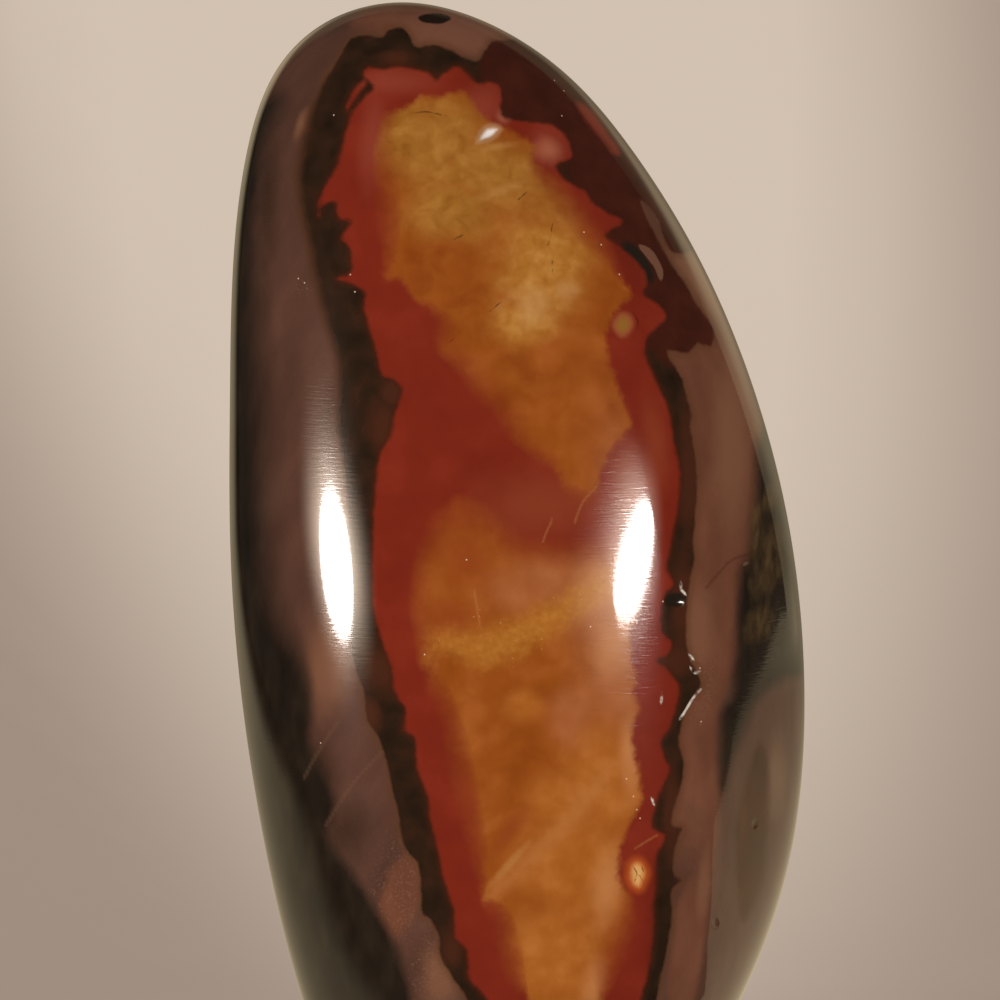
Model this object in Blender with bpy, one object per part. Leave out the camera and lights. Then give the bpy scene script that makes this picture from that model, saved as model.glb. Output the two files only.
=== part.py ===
"""A polished polychrome jasper freeform: one piece of stone that was ground to a leaning, tooth-like form, polished
all over and cut flat underneath, so that it stands.

Run it with blender --background --python part.py, or from Blender's text editor. Units are metres, +Z is up, and the
face with the orange figure looks along -Y. The origin is under the middle of the stone, in the plane of its foot.
"""

import math

import bmesh
import bpy
import numpy as np

MM = 0.001

# Driving dimensions, in millimetres.
# Each station is a level of the outline, from the crown down to the corner where the side meets the foot:
# (height, left edge, right edge, half of the depth, how far the middle of the depth lies behind the origin).
STATIONS = (
    (125.0, -12.4, -12.4, 0.0, 1.5),
    (123.2, -20.0, -4.1, 6.8, 1.4),
    (117.4, -26.2, 5.2, 12.1, 1.2),
    (109.2, -29.2, 12.4, 15.8, 0.9),
    (98.4, -30.7, 19.2, 18.9, 0.5),
    (82.1, -31.2, 26.1, 21.8, 0.1),
    (65.8, -31.2, 30.2, 23.6, 0.0),
    (49.5, -30.0, 31.7, 24.0, 0.0),
    (33.2, -27.5, 30.3, 22.9, 0.2),
    (17.0, -23.7, 24.8, 19.8, 0.6),
    (6.0, -20.0, 18.8, 16.6, 0.9),
    (0.0, -17.7, 15.0, 14.6, 1.0),
)
FOOT_EDGE = 1.6  # how far the rounding between side and foot reaches, along each of them

# Broad flats that the grinding wheel left. Each is (direction it faces, distance from the axis, how softly it blends).
FLATS = (
    ((0.10, -1.0, 0.0), 22.6, 2.2),
    ((-0.16, 1.0, 0.0), 22.0, 2.4),
    ((0.80, -0.60, 0.0), 27.6, 1.6),
    ((-0.74, 0.67, 0.0), 27.4, 2.0),
)

# How finely the surface is divided.
COLUMNS = 60
BODY_ROWS = 42
EDGE_ROWS = 4
FOOT_ROWS = 3
ROWS = BODY_ROWS + EDGE_ROWS + FOOT_ROWS

STONE_COLOUR = (0.115, 0.046, 0.030, 1.0)
STONE_ROUGHNESS = 0.08


def curve_through(knots, values):
    """Gives a function of the knot parameter whose curve runs through all the values with an even bend."""
    gaps = np.diff(knots)
    slopes = np.diff(values, axis=0) / gaps[:, None]
    system = np.eye(len(knots))
    right_side = np.zeros_like(values)
    for i in range(1, len(knots) - 1):
        system[i, i - 1 : i + 2] = gaps[i - 1], 2 * (gaps[i - 1] + gaps[i]), gaps[i]
        right_side[i] = 6 * (slopes[i] - slopes[i - 1])
    bends = np.linalg.solve(system, right_side)

    def curve(at):
        i = int(np.clip(np.searchsorted(knots, at) - 1, 0, len(gaps) - 1))
        after = (at - knots[i]) / gaps[i]
        before = 1 - after
        straight = before * values[i] + after * values[i + 1]
        sag = (before**3 - before) * bends[i] + (after**3 - after) * bends[i + 1]
        return straight + sag * gaps[i] ** 2 / 6

    return curve


def body_rings():
    """Gives the ring of the stone at a distance down its outline, and the distance at which the outline ends.

    A ring is (left x, left z, right x, right z, middle y, half depth). Above the crown the stations run on mirrored,
    left for right, so that the top is as smooth as the sides.
    """
    down = [(left, high, right, high, middle, deep) for high, left, right, deep, middle in STATIONS]
    mirrored = [(right, high, left, high, middle, -deep) for left, _, right, high, middle, deep in down[3:0:-1]]
    rings = np.array(mirrored + down)
    left_steps = np.hypot(*np.diff(rings[:, 0:2], axis=0).T)
    right_steps = np.hypot(*np.diff(rings[:, 2:4], axis=0).T)
    knots = np.concatenate([[0], np.cumsum((left_steps + right_steps) / 2)])
    knots -= knots[len(mirrored)]
    return curve_through(knots, rings), knots[-1]


def ring_of_row(row, ring_at, outline_length):
    """The ring that a row of the ball becomes: down the body, round the foot's edge, then in to the foot's middle."""
    edge_start = outline_length - FOOT_EDGE
    if row <= BODY_ROWS:
        return ring_at(edge_start * row / BODY_ROWS)
    corner = ring_at(outline_length)
    corner[[1, 3]] = 0.0
    inset = corner + FOOT_EDGE * np.array([1, 0, -1, 0, 0, -1])
    if row <= BODY_ROWS + EDGE_ROWS:
        turn = (row - BODY_ROWS) / EDGE_ROWS
        return (1 - turn) ** 2 * ring_at(edge_start) + 2 * turn * (1 - turn) * corner + turn**2 * inset
    middle = inset.copy()
    middle[[0, 2]] = (inset[0] + inset[2]) / 2
    middle[5] = 0.0
    share = (row - BODY_ROWS - EDGE_ROWS) / FOOT_ROWS
    return (1 - share) * inset + share * middle


def ground_flat(point):
    """Takes off what stands proud of the flats, sideways, so that every ring stays level."""
    for facing, distance, softness in FLATS:
        normal = np.array(facing) / np.linalg.norm(facing)
        proud = (point @ normal - distance) / softness
        point = point - normal * softness * math.log1p(math.exp(proud))
    return point


def make_stone():
    """A ball whose rows become the rings of the stone."""
    mesh = bpy.data.meshes.new("jasper_freeform")
    stone = bpy.data.objects.new("jasper_freeform", mesh)
    ball = bmesh.new()
    bmesh.ops.create_uvsphere(ball, u_segments=COLUMNS, v_segments=ROWS, radius=1.0)
    ring_at, outline_length = body_rings()
    for vert in ball.verts:
        row = ROWS * math.acos(max(-1.0, min(1.0, vert.co.z))) / math.pi
        around = math.atan2(vert.co.y, vert.co.x)
        left_x, left_z, right_x, right_z, middle, deep = ring_of_row(round(row), ring_at, outline_length)
        across = (1 + math.cos(around)) / 2
        point = np.array(
            [
                left_x + (right_x - left_x) * across,
                middle + deep * math.sin(around),
                left_z + (right_z - left_z) * across,
            ]
        )
        vert.co = ground_flat(point) * MM
    low = np.min([vert.co for vert in ball.verts], axis=0)
    high = np.max([vert.co for vert in ball.verts], axis=0)
    bmesh.ops.translate(ball, verts=ball.verts, vec=(-(low[0] + high[0]) / 2, -(low[1] + high[1]) / 2, 0))
    bmesh.ops.recalc_face_normals(ball, faces=ball.faces)
    ball.to_mesh(mesh)
    ball.free()
    mesh.shade_smooth()
    mesh.set_sharp_from_angle(angle=math.radians(30))
    return stone


def polished_jasper():
    material = bpy.data.materials.new("polished_jasper")
    material.use_nodes = True
    shader = material.node_tree.nodes["Principled BSDF"]
    shader.inputs["Base Color"].default_value = STONE_COLOUR
    shader.inputs["Roughness"].default_value = STONE_ROUGHNESS
    shader.inputs["Metallic"].default_value = 0.0
    return material


def main():
    for old in list(bpy.data.objects):
        bpy.data.objects.remove(old)
    parts = bpy.data.collections.new("polychrome_jasper_freeform")
    bpy.context.scene.collection.children.link(parts)
    stone = make_stone()
    stone.data.materials.append(polished_jasper())
    parts.objects.link(stone)


main()
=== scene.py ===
# %% [markdown]
# A polished polychrome jasper freeform
#
# A freeform is ground from rough jasper to whatever shape shows its colours best, then polished all over
# and cut flat underneath, so that it stands. This one is a leaning tooth, 125 mm high, with a brown-mauve
# coat, a ragged dark band and a red and amber figure inside it.
#
# The CAD model already has the form. We load it as a fixed frame, lay a much finer skin over it, and spend
# most of the lesson on the markings and the polish.

# %% Load the frame
import math

import bmesh
import bpy
import numpy as np
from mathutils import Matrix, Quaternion, Vector


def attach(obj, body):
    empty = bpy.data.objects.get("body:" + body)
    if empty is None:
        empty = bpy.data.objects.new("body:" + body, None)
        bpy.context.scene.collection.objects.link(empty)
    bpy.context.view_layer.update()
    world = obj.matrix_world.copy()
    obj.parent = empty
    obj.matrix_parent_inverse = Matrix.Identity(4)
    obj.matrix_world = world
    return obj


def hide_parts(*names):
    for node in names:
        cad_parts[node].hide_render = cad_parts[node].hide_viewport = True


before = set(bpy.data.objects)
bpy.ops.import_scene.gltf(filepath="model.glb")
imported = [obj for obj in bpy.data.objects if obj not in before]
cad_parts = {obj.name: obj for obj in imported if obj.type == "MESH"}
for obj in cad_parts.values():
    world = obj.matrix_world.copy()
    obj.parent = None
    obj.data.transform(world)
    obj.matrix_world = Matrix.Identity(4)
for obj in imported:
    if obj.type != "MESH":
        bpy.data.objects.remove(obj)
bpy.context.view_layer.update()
MM = 0.001
print("frame:", sorted(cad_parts))

# %% [markdown]
# The camera
#
# The picture was taken with a long lens from slightly above the middle of the stone, which fills the frame
# and runs out of it at the bottom. A long lens keeps the sides of the form nearly parallel. We place the
# camera by what it looks at, how far off it stands and how steeply it looks down, because these are the
# numbers that we can reason about.

# %% Place the camera
LENS = 135.0
SENSOR = 36.0
PICTURE = 1000.0
EYE_DISTANCE = 407.6 * MM
EYE_RISE = math.radians(4.0)
LOOK_AT = Vector((-2.0, 0.0, 71.2)) * MM
CLIP_START = 0.01

forward = Vector((0.0, math.cos(EYE_RISE), -math.sin(EYE_RISE)))
upward = Vector((0.0, math.sin(EYE_RISE), math.cos(EYE_RISE)))
eye = LOOK_AT - forward * EYE_DISTANCE
camera = bpy.data.objects.new("camera", bpy.data.cameras.new("camera"))
camera.data.lens = LENS
camera.data.sensor_width = SENSOR
camera.data.clip_start = CLIP_START
camera.location = eye
camera.rotation_euler = forward.to_track_quat("-Z", "Y").to_euler()
bpy.context.scene.collection.objects.link(camera)
bpy.context.scene.camera = camera
print("camera stands", round(eye.length / MM), "mm from the origin")


def picture_place(points):
    """Where points in metres fall in the 1000 x 1000 picture, in pixels from its top left corner."""
    offset = points - np.array(eye)
    depth = offset @ np.array(forward)
    focal = PICTURE * LENS / SENSOR
    across = PICTURE / 2 + focal * offset[:, 0] / depth
    down = PICTURE / 2 - focal * (offset @ np.array(upward)) / depth
    return np.stack([across, down], axis=1)


# %% [markdown]
# The form
#
# The stone is a stack of level rings. A smooth curve through them gives the shoulders their even bend, and
# four broad flats are where the grinding wheel stood longest. These are the CAD model's own numbers. The
# CAD has a few thousand faces, but a mirror polish needs far more, or the highlights break up. So we start
# from a ball of some three hundred rows and columns and move its rows on to the rings. The columns crowd
# towards the front, where the markings need them.

# %% The rings
# Each ring: height, left edge, right edge, half depth, and how far back its middle lies, in millimetres.
STATIONS = (
    (125.0, -12.4, -12.4, 0.0, 1.5),
    (123.2, -20.0, -4.1, 6.8, 1.4),
    (117.4, -26.2, 5.2, 12.1, 1.2),
    (109.2, -29.2, 12.4, 15.8, 0.9),
    (98.4, -30.7, 19.2, 18.9, 0.5),
    (82.1, -31.2, 26.1, 21.8, 0.1),
    (65.8, -31.2, 30.2, 23.6, 0.0),
    (49.5, -30.0, 31.7, 24.0, 0.0),
    (33.2, -27.5, 30.3, 22.9, 0.2),
    (17.0, -23.7, 24.8, 19.8, 0.6),
    (6.0, -20.0, 18.8, 16.6, 0.9),
    (0.0, -17.7, 15.0, 14.6, 1.0),
)
# How many of them the curve runs on through, past the top and down the far side.
RINGS_PAST_TOP = 3
FOOT_EDGE = 1.6
# Each flat: the way it faces, how far it lies from the middle and how softly it meets the rounds, in
# millimetres.
FLATS = (
    ((0.10, -1.0, 0.0), 22.6, 2.2),
    ((-0.16, 1.0, 0.0), 22.0, 2.4),
    ((0.80, -0.60, 0.0), 27.6, 1.6),
    ((-0.74, 0.67, 0.0), 27.4, 2.0),
)
COLUMNS = 300
BODY_ROWS = 298
EDGE_ROWS = 6
FOOT_ROWS = 5
ROWS = BODY_ROWS + EDGE_ROWS + FOOT_ROWS
FRONT_CROWDING = 0.5

# %% A curve through the rings


def curve_through(knots, values):
    """Gives a function of the knot parameter whose curve runs through all the values with an even bend."""
    gaps = np.diff(knots)
    slopes = np.diff(values, axis=0) / gaps[:, None]
    system = np.eye(len(knots))
    right_side = np.zeros_like(values)
    for i in range(1, len(knots) - 1):
        system[i, i - 1 : i + 2] = gaps[i - 1], 2 * (gaps[i - 1] + gaps[i]), gaps[i]
        right_side[i] = 6 * (slopes[i] - slopes[i - 1])
    bends = np.linalg.solve(system, right_side)

    def curve(at):
        i = int(np.clip(np.searchsorted(knots, at) - 1, 0, len(gaps) - 1))
        after = (at - knots[i]) / gaps[i]
        before = 1 - after
        straight = before * values[i] + after * values[i + 1]
        sag = (before**3 - before) * bends[i] + (after**3 - after) * bends[i + 1]
        return straight + sag * gaps[i] ** 2 / 6

    return curve


def body_rings():
    """Gives the stone's ring at a distance down its outline, and the distance at which the outline ends."""
    down = [(left, high, right, high, middle, deep) for high, left, right, deep, middle in STATIONS]
    past = down[RINGS_PAST_TOP:0:-1]
    mirrored = [(right, high, left, high, middle, -deep) for left, _, right, high, middle, deep in past]
    rings = np.array(mirrored + down)
    left_steps = np.hypot(*np.diff(rings[:, 0:2], axis=0).T)
    right_steps = np.hypot(*np.diff(rings[:, 2:4], axis=0).T)
    knots = np.concatenate([[0], np.cumsum((left_steps + right_steps) / 2)])
    knots -= knots[len(mirrored)]
    return curve_through(knots, rings), knots[-1]


ring_at, outline_length = body_rings()
print("the outline of the rings is", round(outline_length, 1), "mm long")

# %% Points on the stone


def ring_of_row(row):
    """The ring that a row of the ball becomes: down the body, round the foot's edge, then to its middle."""
    edge_start = outline_length - FOOT_EDGE
    if row <= BODY_ROWS:
        return ring_at(edge_start * row / BODY_ROWS)
    corner = ring_at(outline_length)
    corner[[1, 3]] = 0.0
    inset = corner + FOOT_EDGE * np.array([1, 0, -1, 0, 0, -1])
    if row <= BODY_ROWS + EDGE_ROWS:
        turn = (row - BODY_ROWS) / EDGE_ROWS
        return (1 - turn) ** 2 * ring_at(edge_start) + 2 * turn * (1 - turn) * corner + turn**2 * inset
    middle = inset.copy()
    middle[[0, 2]] = (inset[0] + inset[2]) / 2
    middle[5] = 0.0
    share = (row - BODY_ROWS - EDGE_ROWS) / FOOT_ROWS
    return (1 - share) * inset + share * middle


def ground_flat(points):
    """Takes off what stands proud of the flats, sideways, so that every ring stays level."""
    for facing, distance, softness in FLATS:
        normal = np.array(facing) / np.linalg.norm(facing)
        proud = (points @ normal - distance) / softness
        points = points - normal * (softness * np.log1p(np.exp(proud)))[:, None]
    return points


def on_the_stone(rows, angles):
    """Points in millimetres from their row, which may be a fraction, and their angle round the stone."""
    levels, level_of = np.unique(np.round(rows, 3), return_inverse=True)
    ring = np.array([ring_of_row(level) for level in levels])[level_of]
    across = (1 + np.cos(angles)) / 2
    x = ring[:, 0] + (ring[:, 2] - ring[:, 0]) * across
    y = ring[:, 4] + ring[:, 5] * np.sin(angles)
    z = ring[:, 1] + (ring[:, 3] - ring[:, 1]) * across
    return ground_flat(np.stack([x, y, z], axis=1))


# %% The ball and its finer places
# Chips and pits as ellipses in the picture: (x, y, half width, half height, turn in degrees, depth in mm).
DENTS = (
    (488, 133, 15, 8, -27, 0.28),
    (676, 601, 12, 9, 0, 0.14),
    (696, 671, 7, 6, 0, 0.12),
    (689, 706, 18, 6, -57, 0.08),
    (653, 802, 4, 5, -30, 0.04),
    (639, 874, 6, 9, 0, 0.1),
    (715, 923, 5, 7, 0, 0.07),
    (747, 566, 5, 5, 0, 0.1),
    (755, 824, 4, 7, 15, 0.07),
)
DENT_MARGIN = 6.0
FINER_CUTS = 3


def put_in_scene(name, form):
    """Makes a finished bmesh an object in the scene."""
    piece = bpy.data.objects.new(name, bpy.data.meshes.new(name))
    bpy.context.scene.collection.objects.link(piece)
    form.to_mesh(piece.data)
    form.free()
    return piece


ball = bmesh.new()
bmesh.ops.create_uvsphere(ball, u_segments=COLUMNS, v_segments=ROWS, radius=1.0)
bmesh.ops.recalc_face_normals(ball, faces=ball.faces)
ball.verts.index_update()
row_layer = ball.verts.layers.float.new("row")
angle_layer = ball.verts.layers.float.new("angle")
for vert in ball.verts:
    angle = math.atan2(vert.co.y, vert.co.x)
    vert[row_layer] = round(ROWS * math.acos(max(-1.0, min(1.0, vert.co.z))) / math.pi)
    vert[angle_layer] = angle - FRONT_CROWDING * math.cos(angle)
layers = (row_layer, angle_layer)
points = on_the_stone(*(np.array([vert[layer] for vert in ball.verts]) for layer in layers))
centre = (points[:, :2].min(0) + points[:, :2].max(0)) / 2
points[:, :2] -= centre
rough_places = picture_place(points * MM)
near_dent = np.zeros(len(points), bool)
for x, y, half_wide, half_high, _, _ in DENTS:
    gap = np.hypot(rough_places[:, 0] - x, rough_places[:, 1] - y)
    near_dent |= (gap < max(half_wide, half_high) + DENT_MARGIN) & (points[:, 1] < 0)
close_edges = [edge for edge in ball.edges if all(near_dent[vert.index] for vert in edge.verts)]
bmesh.ops.subdivide_edges(ball, edges=close_edges, cuts=FINER_CUTS, use_grid_fill=True)
print("edges made finer near the dents:", len(close_edges))
skin = put_in_scene("jasper_skin", ball)
mesh = skin.data

# %% The skin


def read_vertices(of, what):
    """The places (co) or normals of a mesh's vertices as an array, three numbers each."""
    values = np.zeros(len(of.vertices) * 3)
    of.vertices.foreach_get(what, values)
    return values.reshape(-1, 3)


def take_layer(name):
    """One number per vertex from the ball, which is then taken off the mesh."""
    values = np.zeros(len(mesh.vertices), np.float32)
    mesh.attributes[name].data.foreach_get("value", values)
    mesh.attributes.remove(mesh.attributes[name])
    return values.astype(float)


rows = take_layer("row")
points = on_the_stone(rows, take_layer("angle"))
points[:, :2] -= centre
points *= MM
mesh.vertices.foreach_set("co", points.ravel())
mesh.update()
mesh.shade_smooth()
print("skin:", len(mesh.vertices), "vertices; size in mm", np.round(np.ptp(points, axis=0) / MM, 2))

# %% [markdown]
# Where a marking falls
#
# The markings are drawn as outlines over the picture, so each vertex needs its place in that picture. The
# camera's own sum gives it. Past the left and right edges of the form the picture can't see, so there the
# drawing runs on round the stone: a vertex behind an edge counts as lying as far outside it as it lies
# inside.

# %% The picture place of every vertex
PIXELS_PER_MM = 9.2
seen_at = picture_place(points)
ends = []
for row in range(ROWS + 1):
    members = np.flatnonzero(rows == row)
    left_end = members[np.argmin(seen_at[members, 0])]
    right_end = members[np.argmax(seen_at[members, 0])]
    ends.append((seen_at[left_end, 0], points[left_end, 1], seen_at[right_end, 0], points[right_end, 1]))
every_row = np.arange(ROWS + 1)
left_x, left_y, right_x, right_y = (np.interp(rows, every_row, column) for column in np.array(ends).T)
is_left = seen_at[:, 0] < (left_x + right_x) / 2
edge_x = np.where(is_left, left_x, right_x)
is_back = points[:, 1] > np.where(is_left, left_y, right_y)
wrapped = seen_at.copy()
wrapped[is_back, 0] = (2 * edge_x - seen_at[:, 0])[is_back]
from_behind = np.stack([-points[:, 0], points[:, 2]], axis=1) / MM
print("vertices on the far side:", int(is_back.sum()), "of", len(is_back))

# %% [markdown]
# Chips and pits
#
# The dark band is softer than the jasper round it and crumbled a little under the wheel. That left a few
# pits along the right of the figure, one chip high up that flashes, and two or three pinholes in the coat.
# They are real hollows, so we press them into the skin along its normals. Each is a smooth bowl, so that it
# catches one small glint of a lamp.


# %% Press the dents
def radius_in(places, spot):
    """How far out places lie in an ellipse, such as a dent's: 0 in its middle, 1 on its rim."""
    x, y, half_wide, half_high, *turn = spot
    angle = math.radians(turn[0] if turn else 0)
    across, down = (places - (x, y)).T
    along = (across * math.cos(angle) + down * math.sin(angle)) / half_wide
    aside = (down * math.cos(angle) - across * math.sin(angle)) / half_high
    return np.hypot(along, aside)


depth = np.zeros(len(points))
for *spot, deepest in DENTS:
    bowl_shape = np.clip(1 - radius_in(wrapped, spot) ** 2, 0, 1) ** 2
    depth = np.maximum(depth, deepest * bowl_shape)
points -= read_vertices(mesh, "normal") * (depth * MM)[:, None]
mesh.vertices.foreach_set("co", points.ravel())
mesh.update()
print("vertices in dents:", int((depth > 0).sum()))


# %% [markdown]
# Distance to an outline
#
# Each marking is a closed outline or a few of them. For every vertex we work out how deep inside it lies,
# in millimetres, and keep that number on the mesh: positive inside, negative outside. The shader then
# decides how soft or ragged the line is, and the number runs smoothly from vertex to vertex, so the line
# stays crisp.

# %% Outlines to distances
REACH = 6.0
SMOOTHING_STEPS = 3
SHORTEST = 1e-9


def rounded(corners, closed=True):
    """A smooth line through given points, three short steps for each."""
    corners = np.array(corners, float)
    if closed:
        before, start, end, after = (np.roll(corners, shift, axis=0) for shift in (1, 0, -1, -2))
    else:
        padded = np.concatenate([corners[:1], corners, corners[-1:]])
        before, start, end, after = padded[:-3], padded[1:-2], padded[2:-1], padded[3:]
    steps = []
    for step in range(SMOOTHING_STEPS):
        t = step / SMOOTHING_STEPS
        square = (2 * before - 5 * start + 4 * end - after) * t**2
        cube = (3 * start - before - 3 * end + after) * t**3
        steps.append(start + ((end - before) * t + square + cube) / 2)
    line = np.stack(steps, axis=1).reshape(-1, 2)
    return line if closed else np.concatenate([line, corners[-1:]])


def distances(spots, start, end):
    """How far spots lie from the straight line between two points."""
    run = end - start
    along = np.clip((spots - start) @ run / max(run @ run, SHORTEST), 0, 1)
    return np.hypot(*(spots - start - along[:, None] * run).T)


def depth_inside(places, corners, unit):
    """How far each place lies inside a closed outline, in units, kept between plus and minus REACH."""
    line = rounded(corners)
    limit = REACH * unit
    near = np.all((places > line.min(0) - limit) & (places < line.max(0) + limit), axis=1)
    spots = places[near]
    nearest = np.full(len(spots), limit)
    inside = np.zeros(len(spots), bool)
    for start, end in zip(line, np.roll(line, -1, axis=0)):
        nearest = np.minimum(nearest, distances(spots, start, end))
        crosses = (start[1] > spots[:, 1]) != (end[1] > spots[:, 1])
        with np.errstate(divide="ignore", invalid="ignore"):
            reach_x = start[0] + (spots[:, 1] - start[1]) * (end[0] - start[0]) / (end[1] - start[1])
        inside ^= crosses & (spots[:, 0] < reach_x)
    depths = np.full(len(places), -REACH)
    depths[near] = np.where(inside, nearest, -nearest) / unit
    return depths


# %% Numbers kept on the skin


def store(on, name, values):
    """Keeps one number per vertex on a mesh."""
    on.attributes.new(name, "FLOAT", "POINT").data.foreach_set("value", values.astype(np.float32))
    print(name, "covers", int((values > 0).sum()), "vertices")


def mark(name, front=(), back=()):
    """A marking from outlines in picture pixels, and on the far side in millimetres, seen from behind."""
    depths = np.full(len(points), -REACH)
    for corners in front:
        depths = np.maximum(depths, depth_inside(wrapped, corners, PIXELS_PER_MM))
    for corners in back:
        far = depth_inside(from_behind, corners, 1.0)
        depths = np.maximum(depths, np.where(is_back, far, -REACH))
    store(mesh, name, depths)


def stain(name, front=(), back=()):
    """Soft spots that rise from 0 on the rim of an ellipse to 1 in its middle."""
    values = np.full(len(points), -1.0)
    for spot in front:
        values = np.maximum(values, 1 - radius_in(wrapped, spot))
    for spot in back:
        values = np.maximum(values, np.where(is_back, 1 - radius_in(from_behind, spot), -1.0))
    store(mesh, name, values)


LINE_REACH = 0.8


def trace(name, lines):
    """Fine lines. Keeps on which side of its nearest line a vertex lies, and how near, in millimetres."""
    side_of = np.full(len(points), 1.0)
    nearest = np.full(len(points), LINE_REACH)
    for corners in lines:
        line = rounded(corners, closed=False)
        for start, end in zip(line[:-1], line[1:]):
            distance = distances(wrapped, start, end) / PIXELS_PER_MM
            closer = distance < nearest
            run, offset = end - start, wrapped - start
            sign = np.sign(run[0] * offset[:, 1] - run[1] * offset[:, 0])
            side_of[closer] = (sign * distance)[closer]
            nearest[closer] = distance[closer]
    store(mesh, name + "_side", side_of)
    store(mesh, name + "_near", LINE_REACH - nearest)


# %% [markdown]
# The big markings
#
# From outside to inside the front shows a mauve coat with darker flanks, a dark band, a red zone, and two
# amber cores. The band is what lies between the figure's outline and the red one, so each needs only its
# outer line. The back can't be seen. It gets a smaller figure of the same kind, as such a stone's other
# face often has.

# %% Figure and red zone
FIGURE = (
    (352, 38), (365, 35), (382, 37), (389, 30), (402, 28), (410, 37), (416, 47), (433, 45), (448, 49),
    (461, 56), (476, 62), (484, 53), (492, 42), (509, 40), (530, 36), (560, 58), (605, 92), (645, 140),
    (690, 190), (702, 240), (688, 252), (673, 252), (664, 239), (657, 218), (640, 199), (648, 221),
    (661, 245), (672, 266), (686, 285), (697, 305), (713, 329), (711, 346), (697, 343), (688, 353),
    (668, 350), (672, 363), (682, 378), (687, 398), (692, 417), (690, 426), (694, 448), (697, 476),
    (696, 510), (693, 543), (695, 557), (690, 580), (687, 602), (686, 635), (689, 656), (697, 672),
    (700, 687), (688, 705), (681, 726), (679, 743), (684, 764), (680, 789), (672, 817), (673, 826),
    (682, 828), (677, 840), (673, 860), (675, 877), (682, 879), (671, 892), (672, 913), (669, 938),
    (661, 976), (656, 1000), (648, 1040), (640, 1080), (630, 1120), (622, 1156), (500, 1156), (492, 1100),
    (480, 1050), (467, 1000), (455, 982), (441, 957), (439, 937), (430, 919), (422, 913), (421, 885),
    (418, 863), (406, 850), (401, 832), (398, 811), (391, 784), (387, 762), (378, 736), (367, 719),
    (364, 691), (355, 668), (352, 646), (350, 600), (349, 540), (347, 500), (343, 460), (337, 425),
    (339, 390), (337, 360), (332, 340), (325, 320), (316, 280), (308, 240), (300, 200), (300, 160),
    (308, 120), (316, 100), (324, 82), (338, 60), (347, 43),
)
RED = (
    (364, 77), (368, 69), (385, 69), (396, 67), (410, 68), (429, 73), (436, 81), (445, 73), (459, 67),
    (468, 76), (478, 84), (492, 82), (501, 90), (501, 115), (518, 121), (538, 123), (552, 125), (566, 137),
    (571, 150), (569, 159), (555, 166), (565, 180), (584, 191), (592, 203), (607, 213), (623, 222),
    (608, 231), (606, 239), (620, 247), (641, 266), (647, 280), (643, 294), (655, 303), (666, 316),
    (658, 326), (647, 336), (645, 354), (657, 384), (668, 409), (674, 445), (679, 470), (678, 504),
    (671, 543), (666, 568), (673, 584), (663, 597), (662, 632), (671, 642), (666, 656), (655, 660),
    (670, 673), (679, 690), (676, 706), (670, 726), (660, 741), (666, 761), (670, 771), (660, 791),
    (651, 826), (665, 836), (656, 856), (656, 881), (653, 909), (653, 933), (648, 972), (640, 1000),
    (632, 1040), (622, 1080), (612, 1110), (590, 1135), (560, 1145), (535, 1135), (515, 1100), (500, 1050),
    (488, 1000), (469, 978), (468, 951), (455, 937), (454, 910), (444, 880), (439, 853), (430, 818),
    (429, 801), (417, 765), (416, 738), (404, 730), (407, 712), (395, 691), (392, 668), (382, 639),
    (373, 604), (373, 554), (375, 498), (380, 456), (391, 436), (396, 411), (403, 390), (394, 379),
    (382, 374), (375, 344), (364, 308), (366, 293), (352, 283), (337, 279), (352, 272), (350, 248),
    (341, 238), (352, 221), (338, 217), (336, 202), (322, 205), (319, 216), (319, 203), (326, 185),
    (337, 167), (343, 145), (347, 128), (354, 110), (368, 94), (374, 86),
)
RED_SLIVER = ((363, 81), (353, 93), (346, 109), (353, 101), (360, 90), (368, 83))
BACK_FIGURE = (
    (-14, 88), (-10, 92), (-7, 92), (-3, 96), (0, 92), (4, 91), (7, 84), (6, 80), (10, 73), (9, 66),
    (13, 58), (12, 53), (17, 45), (15, 39), (18, 32), (15, 27), (12, 26), (9, 20), (6, 25), (2, 27),
    (1, 34), (-4, 40), (-2, 46), (-8, 52), (-7, 58), (-13, 63), (-13, 69), (-17, 75), (-15, 82),
)
BACK_RED = (
    (-12, 83), (-9, 87), (-7, 86), (-4, 90), (-2, 86), (2, 86), (4, 79), (3, 76), (7, 71), (6, 64), (9, 58),
    (8, 53), (13, 45), (10, 39), (12, 33), (10, 28), (8, 25), (7, 31), (4, 32), (4, 40), (0, 45), (1, 50),
    (-4, 55), (-4, 61), (-9, 65), (-10, 72), (-14, 76),
)
mark("figure", [FIGURE], [BACK_FIGURE])
mark("red_zone", [RED, RED_SLIVER], [BACK_RED])

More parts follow.
